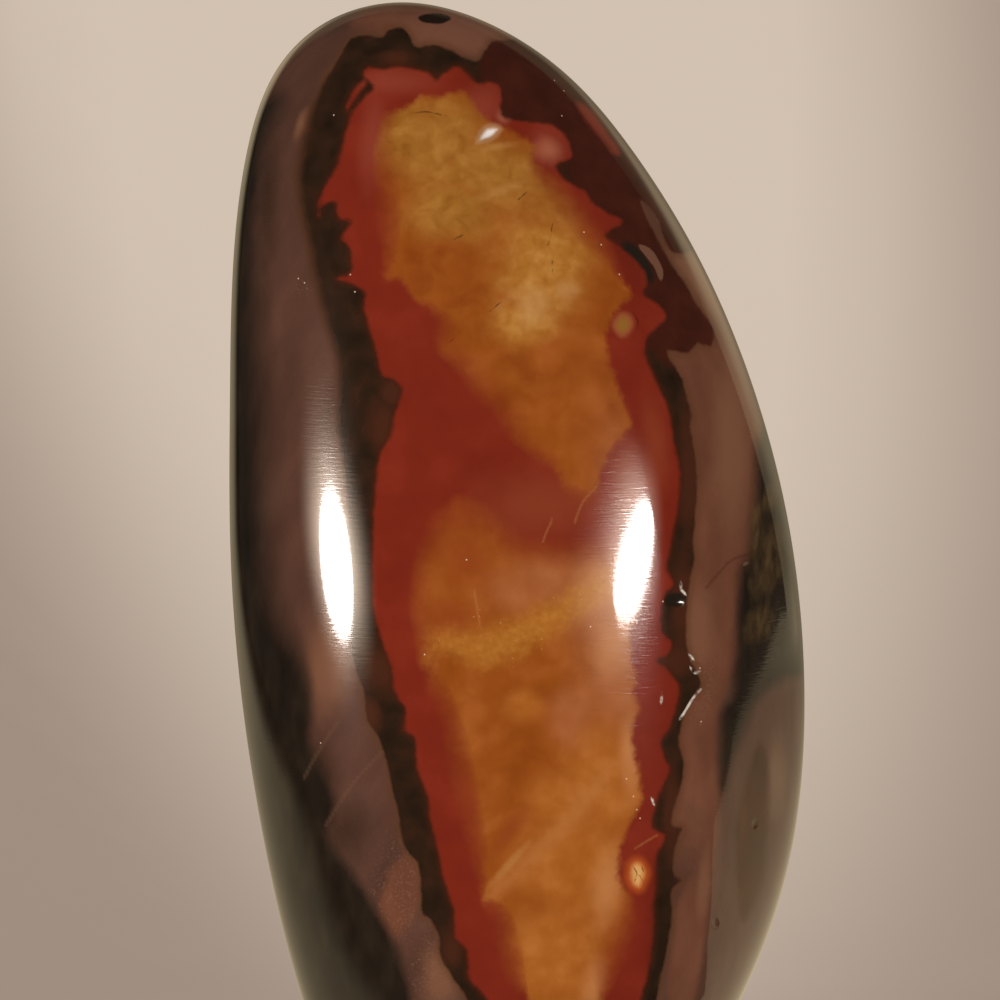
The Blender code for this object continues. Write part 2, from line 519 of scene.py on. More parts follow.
# %% Amber cores
UPPER_CORE = (
    (385, 120), (396, 110), (409, 104), (420, 96), (438, 96), (458, 90), (468, 94), (478, 110), (495, 123),
    (509, 128), (524, 136), (537, 146), (533, 160), (541, 177), (559, 192), (569, 206), (586, 230),
    (601, 247), (616, 269), (632, 293), (621, 307), (609, 326), (608, 350), (616, 378), (627, 406),
    (633, 424), (621, 441), (608, 460), (595, 492), (579, 495), (560, 481), (553, 466), (531, 452),
    (516, 436), (503, 409), (480, 387), (458, 360), (440, 350), (445, 326), (431, 308), (413, 300),
    (402, 281), (384, 282), (389, 256), (391, 231), (389, 204), (381, 171), (379, 150),
)
LOWER_CORE = (
    (465, 500), (445, 512), (432, 545), (424, 560), (416, 600), (421, 635), (423, 664), (430, 660),
    (434, 682), (449, 705), (459, 744), (466, 788), (476, 832), (481, 874), (481, 900), (493, 905),
    (508, 918), (510, 941), (518, 972), (528, 1004), (548, 1020), (566, 1040), (576, 1062), (590, 1072),
    (600, 1036), (604, 993), (609, 965), (617, 941), (626, 922), (630, 900), (620, 876), (622, 850),
    (629, 828), (643, 798), (637, 758), (633, 734), (641, 708), (634, 695), (638, 680), (631, 646),
    (642, 600), (645, 575), (640, 556), (622, 548), (575, 554), (520, 549), (500, 535),
)
BACK_CORE = (
    (-8, 79), (-5, 82), (-2, 80), (-1, 75), (2, 71), (1, 66), (4, 60), (4, 54), (7, 49), (6, 45), (8, 41),
    (6, 39), (4, 45), (2, 48), (1, 54), (-2, 58), (-2, 63), (-6, 67), (-6, 72), (-9, 75),
)
mark("amber", [UPPER_CORE, LOWER_CORE], [BACK_CORE])

# %% Flanks
LEFT_FLANK = (
    (282, 98), (270, 134), (262, 170), (256, 220), (259, 270), (259, 325), (264, 380), (266, 440),
    (267, 490), (271, 545), (277, 600), (296, 650), (312, 695), (310, 742), (326, 778), (336, 805),
    (330, 840), (357, 880), (384, 920), (403, 965), (411, 1000), (414, 1050), (396, 1110), (330, 1130),
    (250, 1070), (170, 960), (110, 820), (90, 680), (110, 400), (180, 200), (236, 112),
)
RIGHT_FLANK = (
    (758, 441), (755, 476), (750, 521), (748, 554), (738, 575), (735, 630), (733, 690), (722, 715),
    (719, 775), (724, 790), (736, 754), (750, 716), (764, 692), (784, 680), (806, 676), (860, 670),
    (880, 560), (870, 450), (830, 420), (780, 400),
)
BACK_CLOUD = ((-24, 60), (-20, 44), (-14, 30), (-6, 16), (-10, 10), (-20, 20), (-27, 38), (-29, 52))
mark("dark_flank", [LEFT_FLANK, RIGHT_FLANK], [BACK_CLOUD])

# %% Markings of one outline each
OUTLINES = {
    "rim_sliver": (
        (577, 101), (581, 113), (592, 128), (604, 141), (613, 153), (619, 155), (618, 148), (607, 132),
        (594, 113),
    ),
    "maroon": (
        (478, 72), (490, 42), (520, 25), (600, 70), (700, 160), (780, 260), (780, 350), (720, 370),
        (680, 372), (630, 330), (600, 250), (560, 160), (510, 135), (490, 95),
    ),
    "pale_lens": ((638, 245), (648, 247), (655, 254), (663, 270), (661, 283), (655, 268), (648, 259)),
    "brown_lens": (
        (758, 740), (767, 755), (769, 800), (767, 846), (763, 885), (749, 916), (740, 920), (737, 888),
        (737, 846), (736, 825), (744, 789), (751, 761),
    ),
    "right_foot": (
        (722, 700), (745, 640), (760, 560), (790, 520), (860, 500), (900, 800), (760, 1160), (640, 1160),
        (672, 1080), (694, 1000), (707, 940), (717, 870), (719, 780),
    ),
    "dark_island": ((418, 17), (432, 13), (447, 15), (451, 19), (440, 24), (424, 22)),
    "yellow_vein": (
        (422, 657), (428, 646), (445, 630), (465, 634), (490, 630), (520, 618), (550, 602), (580, 586),
        (606, 570), (612, 590), (585, 612), (560, 628), (535, 644), (510, 658), (490, 666), (470, 662),
        (450, 650), (436, 658), (429, 668),
    ),
    "tan_band": (
        (481, 902), (495, 884), (520, 858), (545, 832), (566, 812), (592, 780), (612, 762), (604, 786),
        (576, 822), (546, 854), (518, 880), (498, 898),
    ),
    "eye": ((637, 860), (644, 865), (647, 874), (644, 883), (640, 889), (632, 886), (628, 876), (630, 865)),
    "knot": (
        (616, 317), (623, 312), (630, 315), (634, 324), (630, 333), (622, 337), (615, 332), (612, 324),
    ),
    # The chip is a real hollow; its outline also carries a painted glint.
    "glinting_chip": ((476, 143), (479, 132), (486, 125), (497, 124), (502, 129), (496, 137), (487, 142)),
}
for name, outline in OUTLINES.items():
    mark(name, [outline])

# %% [markdown]
# Soft stains
#
# Inside each zone the colour drifts in soft patches, from olive gold through honey to orange. An outline
# would be too hard for these, so each is an ellipse that fades towards its rim, and the shader lets noise
# eat into it. Each is x, y, half width, half height and, if it leans, its turn in degrees, in picture
# pixels, or in millimetres on the far side.

# %% Stains
stain("gold", [(426, 142, 88, 80), (490, 176, 104, 58, 15), (452, 208, 80, 52)], [(-3, 76, 6, 8)])
stain("cream", [(541, 270, 68, 92, 16), (526, 318, 52, 40)], [(3, 62, 3, 9, 15)])
stain("cream_heart", [(532, 306, 28, 34, 15), (566, 290, 20, 16)])
stain("deep_orange", [
    (422, 276, 38, 56), (446, 252, 34, 22), (470, 302, 48, 44, 20), (384, 194, 42, 52),
    (522, 376, 50, 26, 30), (614, 398, 24, 40, -10),
], [(6, 45, 4, 7, 20)])
stain("tan", [(548, 580, 96, 44, -15), (600, 596, 50, 66), (612, 690, 34, 66), (574, 716, 40, 50)])
# Stains of pale tan. The first two spots, beside the right lamp's highlight, are a painted glow of it.
stain("pale_tan_and_glow", [
    (596, 592, 42, 34, -25), (612, 642, 30, 50), (630, 752, 16, 66), (608, 886, 24, 64, 8),
    (594, 986, 20, 48, 8),
])
stain("honey", [
    (522, 706, 30, 24), (575, 866, 84, 100), (604, 785, 62, 84), (555, 955, 80, 84),
    (556, 802, 46, 42),
])
stain("ridge", [
    (500, 191, 44, 8, -20), (516, 293, 42, 8, -38), (512, 861, 50, 6, -48), (500, 146, 30, 6, -8),
])
stain("ember", [
    (458, 516, 44, 40), (452, 618, 40, 34), (510, 830, 15, 46, 36), (466, 556, 44, 56),
    (470, 800, 14, 70, -10),
])
stain("veiled", [(540, 505, 100, 60), (655, 440, 20, 70, -8), (626, 468, 28, 48, 10)])
stain("rosy", [(395, 82, 60, 22), (482, 105, 34, 38, 30), (550, 146, 34, 32, 30), (372, 140, 20, 74, 5)])
stain("rosy_heart", [(548, 150, 22, 18, 30), (504, 116, 12, 12)])
stain("deep_red", [(628, 258, 24, 64, -25), (656, 930, 22, 110)])
stain("band_brown", [
    (393, 392, 18, 20), (380, 670, 34, 40), (452, 950, 20, 26), (678, 661, 26, 22), (682, 600, 18, 80),
    (382, 428, 22, 38), (672, 810, 14, 70), (688, 470, 18, 110), (396, 57, 30, 12),
    (371, 712, 14, 30, -15),
])
stain("green_black", [(638, 262, 11, 30, -35), (676, 600, 14, 9)])
stain("soft_edge", [
    (310, 250, 60, 260, -6), (500, 390, 40, 130, -42), (520, 540, 150, 70), (432, 590, 34, 120),
    (452, 770, 34, 140, -14), (614, 945, 34, 66, 16), (500, 950, 30, 60, -14), (262, 470, 56, 330, -3),
    (386, 190, 22, 100), (578, 214, 26, 84, -38),
])
stain("coat_light", [
    (698, 626, 26, 64), (692, 276, 26, 62, -30), (440, 975, 26, 50), (732, 446, 30, 130),
    (328, 668, 34, 70), (302, 124, 9, 24, 20), (704, 886, 10, 50, 5),
], [(-12, 100, 9, 12), (6, 12, 12, 10), (-20, 78, 6, 16)])
stain("coat_dim", [
    (268, 200, 20, 110), (298, 690, 20, 80), (346, 834, 42, 62, 25), (322, 768, 24, 46, -15),
])
stain("foot_light", [(777, 778, 15, 62)])
stain("coat_warm", [
    (722, 580, 95, 390), (688, 956, 22, 104, 6), (404, 892, 26, 70, 25), (455, 28, 120, 34, 5),
])
# Painted light: the top is made paler, standing in for light from above that the level lamps don't give.
stain("painted_top_light", [(466, 34, 96, 32, 8)])
stain("flank_light", [
    (768, 560, 24, 56, 15), (757, 626, 18, 28, 20), (757, 526, 18, 62), (768, 500, 12, 34, 20),
])
stain("grainy", [
    (400, 890, 50, 90, 20), (440, 960, 40, 70, 20), (700, 680, 24, 60), (650, 760, 20, 90),
    (303, 288, 12, 12), (560, 88, 22, 12, 30), (520, 630, 110, 40, -15),
])

# %% Places of the sparks
# Single glassy grains that flash in the picture.
# Each flash is a painted highlight: a pale spot laid into the base colour.
SPARKS = (
    (625, 779), (634, 797), (638, 810), (641, 818), (663, 601), (701, 722), (298, 279), (306, 284),
    (555, 82), (564, 92), (562, 114), (585, 233), (600, 245), (619, 276), (333, 116), (351, 273),
    (356, 293), (466, 562), (424, 655), (592, 628), (700, 668), (322, 744),
)

# %% Fine veins, cracks and painted glints
trace("pale_vein", [
    ((474, 590), (477, 608), (480, 625)),
    ((596, 487), (583, 502), (575, 522)),
    ((552, 520), (547, 531), (543, 541)),
    ((636, 848), (645, 842), (656, 836)),
])
trace("coat_vein", [
    ((326, 825), (345, 795), (360, 775), (382, 752)),
    ((304, 778), (318, 752), (338, 722)),
])
trace("dark_crack", [
    ((415, 113), (428, 112), (445, 116)),
    ((455, 239), (462, 236)),
    ((548, 245), (551, 234), (552, 225)),
    ((552, 262), (553, 272)),
    ((490, 311), (500, 303)),
    ((450, 342), (460, 332)),
    ((519, 199), (526, 193)),
    ((634, 868), (637, 874), (635, 880)),
    ((640, 876), (642, 880)),
    ((642, 868), (643, 871)),
    ((634, 314), (638, 322), (636, 332)),
    ((711, 921), (713, 917), (718, 918), (719, 924), (717, 929), (712, 928), (711, 921)),
    ((744, 564), (747, 562), (750, 565), (748, 569), (744, 567)),
    ((752, 830), (752, 822), (756, 816), (759, 818)),
])
trace("scratch", [((706, 588), (718, 574), (732, 560), (752, 553))])
# Glints are painted highlights: pale lines laid into the base colour where a lamp flashes on the rims of
# pits and cracks.
trace("glint", [
    ((681, 582), (681, 589), (685, 594)),
    ((691, 668), (695, 673), (699, 672)),
    ((700, 690), (694, 697), (686, 710), (680, 719)),
    ((662, 694), (661, 703)),
    ((652, 799), (654, 804)),
    ((690, 655), (693, 659)),
    ((634, 618), (637, 622)),
])

# %% [markdown]
# The stone's material
#
# Jasper is fine quartz, coloured through by iron minerals: red where they are rusted to haematite, yellow
# and amber where they are goethite, near black where manganese joined them. It is opaque, with slightly
# glassy cores. Polishing leaves a true mirror and, under it, fine level scratches that draw each lamp's
# highlight out upwards and downwards. In the Principled shader the coat is the mirror and the base's own
# gloss is the scratched part. One small function adds every node, so the lines below read as what they do
# to the colour.

# %% Colours and nodes
MAIN_CHOICE = {"Math": "operation", "VectorMath": "operation", "MapRange": "interpolation_type",
               "Mix": "data_type"}


def linear(code):
    """Turns an sRGB hex colour into the linear numbers that a shader works in."""
    parts = [int(code[i : i + 2], 16) / 255 for i in (1, 3, 5)]
    return tuple([c / 12.92 if c <= 0.04045 else ((c + 0.055) / 1.055) ** 2.4 for c in parts] + [1.0])


def per_mm(size):
    """The scale that makes one wave of a pattern this many millimetres long."""
    return 1 / (size * MM)


def add(tree, kind, *feeds, gives=0, **settings):
    """Adds a node and gives one of its outputs. A second word in kind is the node's main choice.

    Feeds are values or outputs for the inputs in their order, or one dict of them by name or number.
    """
    kind, *choice = kind.split()
    settings.update({MAIN_CHOICE[kind]: word for word in choice})
    node = tree.nodes.new("ShaderNode" + kind)
    for name, value in settings.items():
        setattr(node, name, value)
    named = feeds[0] if feeds and isinstance(feeds[0], dict) else dict(enumerate(feeds))
    for name, value in named.items():
        if isinstance(value, bpy.types.NodeSocket):
            tree.links.new(value, node.inputs[name])
        else:
            node.inputs[name].default_value = value
    return node.outputs[gives] if len(node.outputs) else None


# %% Start the jasper
jasper = bpy.data.materials.new("polished_polychrome_jasper")
jasper.use_nodes = True
stone = jasper.node_tree
shader = stone.nodes["Principled BSDF"]
place = add(stone, "TexCoord", gives="Object")


def frayed(size):
    """Noise about zero that eats into an edge, in bites of this size in millimetres."""
    feeds = {"Vector": place, "Scale": per_mm(size), "Detail": 4, "Roughness": 0.6}
    return add(stone, "Math SUBTRACT", add(stone, "TexNoise", feeds), 0.5)


fine_fray = frayed(1.1)
broad_fray = frayed(3.5)

# %% How strongly a marking covers a point


def torn(name, fray, bite):
    """A number that was kept on the skin, with so much of a noise added."""
    kept = add(stone, "Attribute", gives="Fac", attribute_name=name)
    return add(stone, "Math MULTIPLY_ADD", fray, bite, kept)


def grown(name, low, high, fray=fine_fray, bite=0.0, least=0.0, most=1.0):
    """Runs smoothly from least to most as a kept number, torn by noise, goes from low to high."""
    return add(stone, "MapRange SMOOTHSTEP", torn(name, fray, bite), low, high, least, most)


def inside(name, ragged, soft, fray=fine_fray, inset=0.0, strength=1.0):
    """How strongly a marking covers a point. Raggedness, softness and inset are in millimetres."""
    low, high = (add(stone, "Math MULTIPLY_ADD", soft, half, inset) for half in (-0.5, 0.5))
    return grown(name, low, high, fray, 2 * ragged, most=strength)


def stained(name, strength, soft, bite=0.5):
    """How strongly a soft stain colours a point."""
    return grown(name, 0.0, soft, broad_fray, bite, most=strength)


def edge_softness(least, most):
    """How far an edge fades, in millimetres: most of all where the soft_edge stain lies."""
    return grown("soft_edge", 0.0, 0.6, least=least, most=most)


def lined(name, half_width, soft, strength):
    """How strongly a fine line covers a point. Its widths are in millimetres."""
    off = add(stone, "Math ABSOLUTE", torn(name + "_side", fine_fray, 0.25))
    limits = half_width - soft, half_width + soft
    across = add(stone, "MapRange SMOOTHSTEP", off, *limits, strength, 0.0)
    return add(stone, "Math MULTIPLY", across, grown(name + "_near", 0.42, 0.62))


def broken(strength):
    """A strength that fine noise breaks off here and there."""
    return add(stone, "MapRange SMOOTHSTEP", fine_fray, -0.14, 0.08, 0.0, strength)


# %% Layers and patterns


def layered(below, *layers):
    """Lays colours over one another in turn. Each layer is a colour and how strongly it covers a point."""
    for above, share in layers:
        above = linear(above) if isinstance(above, str) else above
        below = add(stone, "Mix RGBA", {0: share, 6: below, 7: above}, gives=2)
    return below


def clouds(size, detail, long=1.0, lean=0.0, swirl=0.0):
    """Noise in patches of so many millimetres, drawn out upwards and leaning right by so many degrees."""
    turn = {"Vector": place, "Rotation": (0.0, math.radians(lean), 0.0), "Scale": (1.0, 1.0, long)}
    turned = add(stone, "Mapping", turn, vector_type="TEXTURE")
    feeds = {"Vector": turned, "Scale": per_mm(size), "Detail": detail, "Distortion": swirl}
    return add(stone, "TexNoise", feeds)


def specks(size, radius, share):
    """Small round grains: in cells of this size in millimetres, this share of the cells holds one."""
    cells = add(stone, "TexVoronoi", {"Vector": place, "Scale": per_mm(size)}, gives="Distance")
    grain = add(stone, "MapRange SMOOTHSTEP", cells, 0.6 * radius / size, radius / size, 1.0, 0.0)
    lot = add(stone, "SeparateColor", cells.node.outputs["Color"])
    return add(stone, "Math MULTIPLY", grain, add(stone, "Math LESS_THAN", lot, share))


def mottled(dark, middle, light, size, detail, contrast=0.25, **form):
    """A cloudy run through three colours, with patches of this size in millimetres."""
    cloud = clouds(size, detail, **form)
    run = add(stone, "ValToRGB", add(stone, "MapRange LINEAR", cloud, 0.5 - contrast, 0.5 + contrast))
    stops = run.node.color_ramp.elements
    stops[0].color = linear(dark)
    stops[1].color = linear(light)
    stops.new(0.5).color = linear(middle)
    return run


# %% Coat and flanks
grain_strength = grown("grainy", 0.0, 0.7, least=0.05, most=0.35)
fine_grain = add(stone, "MapRange SMOOTHSTEP", clouds(0.25, 2), 0.48, 0.75, 0.0, grain_strength)
pale_grains = add(stone, "Math MULTIPLY", specks(0.7, 0.09, 0.3), grown("grainy", 0.0, 0.3))
coat = layered(
    mottled("#4c3127", "#58392d", "#644336", 5.0, 5, long=3.0, lean=33),
    (mottled("#62382a", "#6e422f", "#7c4e39", 5.0, 5, long=2.0), stained("coat_warm", 0.9, 0.4)),
    ("#7d533c", stained("coat_light", 0.85, 0.8)),
    ("#352218", stained("coat_dim", 0.75, 1.0)),
    # Painted light on the top of the stone.
    ("#7f5240", stained("painted_top_light", 0.8, 0.8)),
    (mottled("#4c3025", "#553729", "#5e4132", 3.0, 4, long=3.0), inside("right_foot", 0.2, 1.2)),
    ("#745640", stained("foot_light", 0.7, 0.9)),
    ("#8a644c", fine_grain),
    ("#a8806a", add(stone, "Math MULTIPLY", pale_grains, 0.38)),
)
flank_patches = mottled("#2a1d12", "#45331f", "#5a4529", 1.3, 6, long=2.2, lean=25)
flank = layered(
    mottled("#1b140e", "#241b14", "#2f2419", 2.6, 5, long=2.5, lean=15),
    (flank_patches, stained("flank_light", 0.85, 0.7, 1.2)),
)
lens = mottled("#3a200b", "#462711", "#52301a", 3.0, 4, long=2.0)

# %% Band and maroon corner
band = layered(
    mottled("#20150c", "#2c1c11", "#3a2115", 2.6, 5),
    ("#4a2617", stained("band_brown", 0.85, 0.8, 0.9)),
    ("#451d0f", inside("red_zone", 0.3, 0.9, inset=-0.45, strength=0.6)),
    (mottled("#38180f", "#401b11", "#4a2014", 3.5, 4), inside("maroon", 0.8, 1.2, broad_fray)),
    ("#1f1c15", stained("green_black", 0.9, 0.4)),
    ("#6e4a38", inside("pale_lens", 0.08, 0.15)),
)

# %% Red zone
red = layered(
    mottled("#722213", "#7a2616", "#832c1a", 4.5, 4),
    ("#924230", stained("rosy", 0.6, 1.0)),
    ("#b0674c", stained("rosy_heart", 0.7, 1.0)),
    ("#5a1b10", stained("deep_red", 0.5, 1.0)),
    ("#8a3f26", stained("veiled", 0.65, 1.0)),
)

# %% Amber cores
yellow = mottled("#a46321", "#b07029", "#bc7f36", 0.6, 6, 0.3)
amber = layered(
    mottled("#86400f", "#954c17", "#a45a24", 4.0, 5, swirl=0.4),
    (mottled("#8a551a", "#9f6828", "#b17a37", 1.8, 8, 0.28, swirl=0.4), stained("gold", 0.95, 0.8, 0.6)),
    (mottled("#7c380d", "#8a4313", "#985219", 2.0, 5, swirl=0.4), stained("deep_orange", 0.85, 0.9, 0.8)),
    (mottled("#9d6220", "#b0742e", "#bf8843", 1.5, 7, swirl=0.3), stained("cream", 0.95, 0.8, 0.7)),
    ("#c1905a", stained("cream_heart", 0.45, 0.9, 1.0)),
    (mottled("#99542c", "#a56038", "#b06d44", 3.0, 5), stained("tan", 0.8, 0.9)),
    (mottled("#9f581c", "#ab6325", "#b87133", 2.5, 6), stained("honey", 0.85, 0.8)),
    # Pale tan of the stone, and painted glow beside the right highlight.
    ("#c28250", stained("pale_tan_and_glow", 0.6, 1.0, 0.6)),
    ("#8c3c18", stained("ember", 0.7, 1.0)),
    ("#b87640", inside("tan_band", 0.9, 2.2, strength=0.4)),
    (yellow, inside("yellow_vein", 1.4, 2.8, strength=0.75)),
    ("#c08a4e", stained("ridge", 0.36, 0.9, 0.8)),
    ("#cf9c62", add(stone, "Math MULTIPLY", pale_grains, 0.5)),
)

# %% Sparks
SPARK_RADIUS = 0.11
SPARK_CORE = 0.4
SPARK_STRENGTH = 0.8
spark_limits = SPARK_CORE * SPARK_RADIUS * MM, SPARK_RADIUS * MM

sparkle = 0.0
for spark in SPARKS:
    seen_from_front = np.where(is_back, np.inf, np.hypot(*(seen_at - spark).T))
    spot = tuple(points[np.argmin(seen_from_front)])
    away = add(stone, "VectorMath DISTANCE", place, spot, gives="Value")
    flash = add(stone, "MapRange SMOOTHSTEP", away, *spark_limits, SPARK_STRENGTH, 0.0)
    sparkle = add(stone, "Math MAXIMUM", sparkle, flash)
print("sparks:", len(SPARKS))

# %% Everything over the coat, from the big markings to the fine ones
surface = layered(
    coat,
    (flank, inside("dark_flank", 0.5, edge_softness(1.8, 5.2), broad_fray)),
    (lens, inside("brown_lens", 0.3, 1.0)),
    ("#5c3822", inside("figure", 0.3, 1.0, inset=-0.5, strength=0.55)),
    (band, inside("figure", 0.22, edge_softness(0.4, 1.8))),
    ("#782e1f", inside("rim_sliver", 0.2, 0.8)),
    ("#22150d", inside("dark_island", 0.15, 0.25)),
    (red, inside("red_zone", 0.3, 0.6)),
    (amber, inside("amber", 0.7, edge_softness(1.0, 4.8), inset=0.2)),
    ("#9c5832", inside("knot", 0.2, 0.8, strength=0.8)),
    ("#8f6526", inside("knot", 0.2, 0.8, inset=0.5, strength=0.9)),
    ("#b9561f", inside("eye", 0.2, 1.2, inset=-0.3, strength=0.75)),
    ("#dda562", inside("eye", 0.2, 1.0, inset=0.4)),
    # The chip's pale rim and white core are a painted highlight: a lamp's glint in it, laid into the base
    # colour.
    ("#bd9268", inside("glinting_chip", 0.2, 0.7, strength=0.6)),
    ("#f2e8e2", inside("glinting_chip", 0.1, 0.5, inset=0.5)),
    ("#b87a48", lined("pale_vein", 0.12, 0.14, 0.28)),
    ("#7c5a44", lined("coat_vein", 0.22, 0.35, 0.22)),
    ("#3c1c12", lined("scratch", 0.14, 0.16, 0.4)),
    ("#3a1f10", lined("dark_crack", 0.07, 0.06, broken(0.7))),
    # Painted highlights: the glints of the lamps in pits.
    ("#e8dccc", lined("glint", 0.13, 0.08, broken(0.85))),
    # Painted highlights: the flashes of single grains.
    ("#ecd0b0", sparkle),
)
stone.links.new(surface, shader.inputs["Base Color"])

# %% [markdown]
# The polish
#
# Level scratches tilt the surface a little up or down and hardly sideways. So we draw them as noise that is
# long from side to side and very thin from top to bottom, and let it tilt both layers by a fraction of a
# degree. Real ones are finer than a picture point, so ours are drawn as coarse as they need to be to show.

# %% Polish
SCRATCH_PITCH = 0.16
SCRATCH_DEPTH = 0.003
HAIR_PITCH = 0.24
HAIR_SHARE = 0.3
# How deep each layer follows the scratches, as a share of their depth.
FOLLOWS = {"Coat Normal": 0.6, "Normal": 1.4}
QUARTZ_IOR = 1.54
POLISH = {
    "Roughness": 0.12,
    "IOR": QUARTZ_IOR,
    "Specular IOR Level": 0.14,
    "Anisotropic": 0.7,
    "Anisotropic Rotation": 0.25,
    "Coat Weight": 0.85,
    "Coat Roughness": 0.02,
    "Coat IOR": QUARTZ_IOR,
}


def level_lines(pitch, long):
    """Noise in level lines: so many millimetres from line to line, and so many times as long as thick."""
    drawn_out = add(stone, "Mapping", {"Vector": place, "Scale": (1 / long, 1 / long, 1.0)})
    return add(stone, "TexNoise", {"Vector": drawn_out, "Scale": per_mm(pitch), "Detail": 2})


hairs = add(stone, "MapRange SMOOTHSTEP", level_lines(HAIR_PITCH, 16), 0.56, 0.68)
scratches = add(stone, "Math MULTIPLY_ADD", hairs, HAIR_SHARE, level_lines(SCRATCH_PITCH, 11))
for socket, share in FOLLOWS.items():
    feeds = {"Height": scratches, "Strength": 1.0, "Distance": share * SCRATCH_DEPTH * MM}
    stone.links.new(add(stone, "Bump", feeds), shader.inputs[socket])
for socket, value in POLISH.items():
    shader.inputs[socket].default_value = value
mesh.materials.append(jasper)
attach(skin, "root")
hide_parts("jasper_freeform")
print("jasper nodes:", len(stone.nodes))

# %% [markdown]
# The studio
#
# The stone stands on pale paper between two lamps. What matters most for a mirror polish is what it can
# see: two lamps near its own height, one well to the left and one close to the camera's right, and the
# paper, whose front edge runs just before the stone. A round bowl of the same pale tone is what the camera
# sees behind it. The paper is seen by reflections only and the bowl by the camera only, so each can be
# right on its own.

# %% Helpers for the studio


def bare_tree(holder):
    """Turns on the nodes of a material or a world, and clears them away for our own."""
    holder.use_nodes = True
    holder.node_tree.nodes.clear()
    return holder.node_tree


def hide_from(piece, *rays):
    """Keeps kinds of light ray, such as camera or shadow, from meeting a piece."""
    for ray in rays:
        setattr(piece, "visible_" + ray, False)


# %% The bowl
BOWL_RADIUS = 1.2
BOWL_HEIGHT = 1.2
BOWL_BEND = 0.45
FLOOR_RINGS = 16
BEND_STEPS = 12
BOWL_SIDES = 180
SAME_PLACE = 1e-6

profile = bmesh.new()
floor_radius = BOWL_RADIUS - BOWL_BEND
trail = [(r, 0.0) for r in np.linspace(0.0, floor_radius, FLOOR_RINGS)]
for turn in np.linspace(0.0, math.pi / 2, BEND_STEPS + 1)[1:]:
    trail.append((floor_radius + BOWL_BEND * math.sin(turn), BOWL_BEND * (1 - math.cos(turn))))
trail.append((BOWL_RADIUS, BOWL_HEIGHT))
corners = [profile.verts.new((r, 0.0, z)) for r, z in trail]
for start, end in zip(corners, corners[1:]):
    profile.edges.new((start, end))
whole = profile.verts[:] + profile.edges[:]
full_turn = {"cent": (0, 0, 0), "axis": (0, 0, 1), "angle": 2 * math.pi, "steps": BOWL_SIDES}
bmesh.ops.spin(profile, geom=whole, use_merge=True, **full_turn)
bmesh.ops.remove_doubles(profile, verts=profile.verts, dist=SAME_PLACE)
bmesh.ops.recalc_face_normals(profile, faces=profile.faces)
bmesh.ops.reverse_faces(profile, faces=profile.faces)
bowl = put_in_scene("bowl", profile)
bowl.data.shade_smooth()
print("bowl:", len(bowl.data.polygons), "faces")

# %% The pool of light on the bowl
PAPER_LIGHT = "#d9c8b7"
PAPER_SHADE = "#a69486"
# The pool is an ellipse in the picture: (x, y, half width, half height, turn in degrees).
POOL = (400, -120, 650, 1450, -13)
POOL_INNER = 0.52
POOL_FADE = 0.49
# The floor before the stone is out of the picture, so the light dies away there.
POOL_FRONT = -0.15
POOL_FRONT_FADE = 0.2
NEAREST_SEEN = 0.05
UNLIT = 9.0
# The floor is dim close to the stone: from and to which distance in metres, and which share of its own
# light.
CONTACT_SHADE = (0.02, 0.09, 0.25, 0.8)

bowl_places = read_vertices(bowl.data, "co")
ahead = (bowl_places - np.array(eye)) @ np.array(forward) > NEAREST_SEEN
spread = np.full(len(bowl_places), UNLIT)
spread[ahead] = radius_in(picture_place(bowl_places[ahead]), POOL)
pool = 1 - np.clip((spread - POOL_INNER) / POOL_FADE, 0, 1)
pool = pool * pool * (3 - 2 * pool)
pool *= np.clip((bowl_places[:, 1] - POOL_FRONT) / POOL_FRONT_FADE, 0, 1)
store(bowl.data, "pool", pool)

pale_paper = bpy.data.materials.new("pale_backdrop_paper")
sheet = bare_tree(pale_paper)
pool_share = add(sheet, "Attribute", gives="Fac", attribute_name="pool")
tone = add(sheet, "Mix RGBA", {0: pool_share, 6: linear(PAPER_SHADE), 7: linear(PAPER_LIGHT)}, gives=2)
from_middle = add(sheet, "VectorMath LENGTH", add(sheet, "TexCoord", gives="Object"), gives="Value")
glow_share = add(sheet, "MapRange SMOOTHSTEP", from_middle, *CONTACT_SHADE)
lit, glow = add(sheet, "BsdfDiffuse", tone), add(sheet, "Emission", tone, 1.0)
add(sheet, "OutputMaterial", add(sheet, "MixShader", glow_share, lit, glow))
bowl.data.materials.append(pale_paper)
hide_from(bowl, "glossy", "diffuse", "shadow")

# %% The paper that the stone mirrors
PAPER_FRONT = (
    (-640, 619), (-385, 336), (-250, 90), (-160, -6), (-110, -19), (-58, -31), (20, -24), (47, -5),
    (67, -15), (111, -24), (143, -30), (184, -31), (240, -6), (293, 18), (345, 35), (398, 63), (465, 123),
    (577, 214), (662, 277), (861, 479), (861, 619),
)
PAPER_BACK = 620.0
PAPER_RISE = 800.0

sweep = bmesh.new()
edge_points = [sweep.verts.new((x * MM, y * MM, 0.0)) for x, y in PAPER_FRONT]
edge_line = [sweep.edges.new((start, end)) for start, end in zip(edge_points, edge_points[1:])]
flat = bmesh.ops.extrude_edge_only(sweep, edges=edge_line)["geom"]
back_points = {part for part in flat if isinstance(part, bmesh.types.BMVert)}
for vert in back_points:
    vert.co.y = PAPER_BACK * MM
flat_edges = [part for part in flat if isinstance(part, bmesh.types.BMEdge)]
back_line = [edge for edge in flat_edges if back_points.issuperset(edge.verts)]
rise = bmesh.ops.extrude_edge_only(sweep, edges=back_line)["geom"]
top_points = [part for part in rise if isinstance(part, bmesh.types.BMVert)]
bmesh.ops.translate(sweep, verts=top_points, vec=(0, 0, PAPER_RISE * MM))
paper = put_in_scene("paper", sweep)
print("paper:", len(paper.data.polygons), "faces")

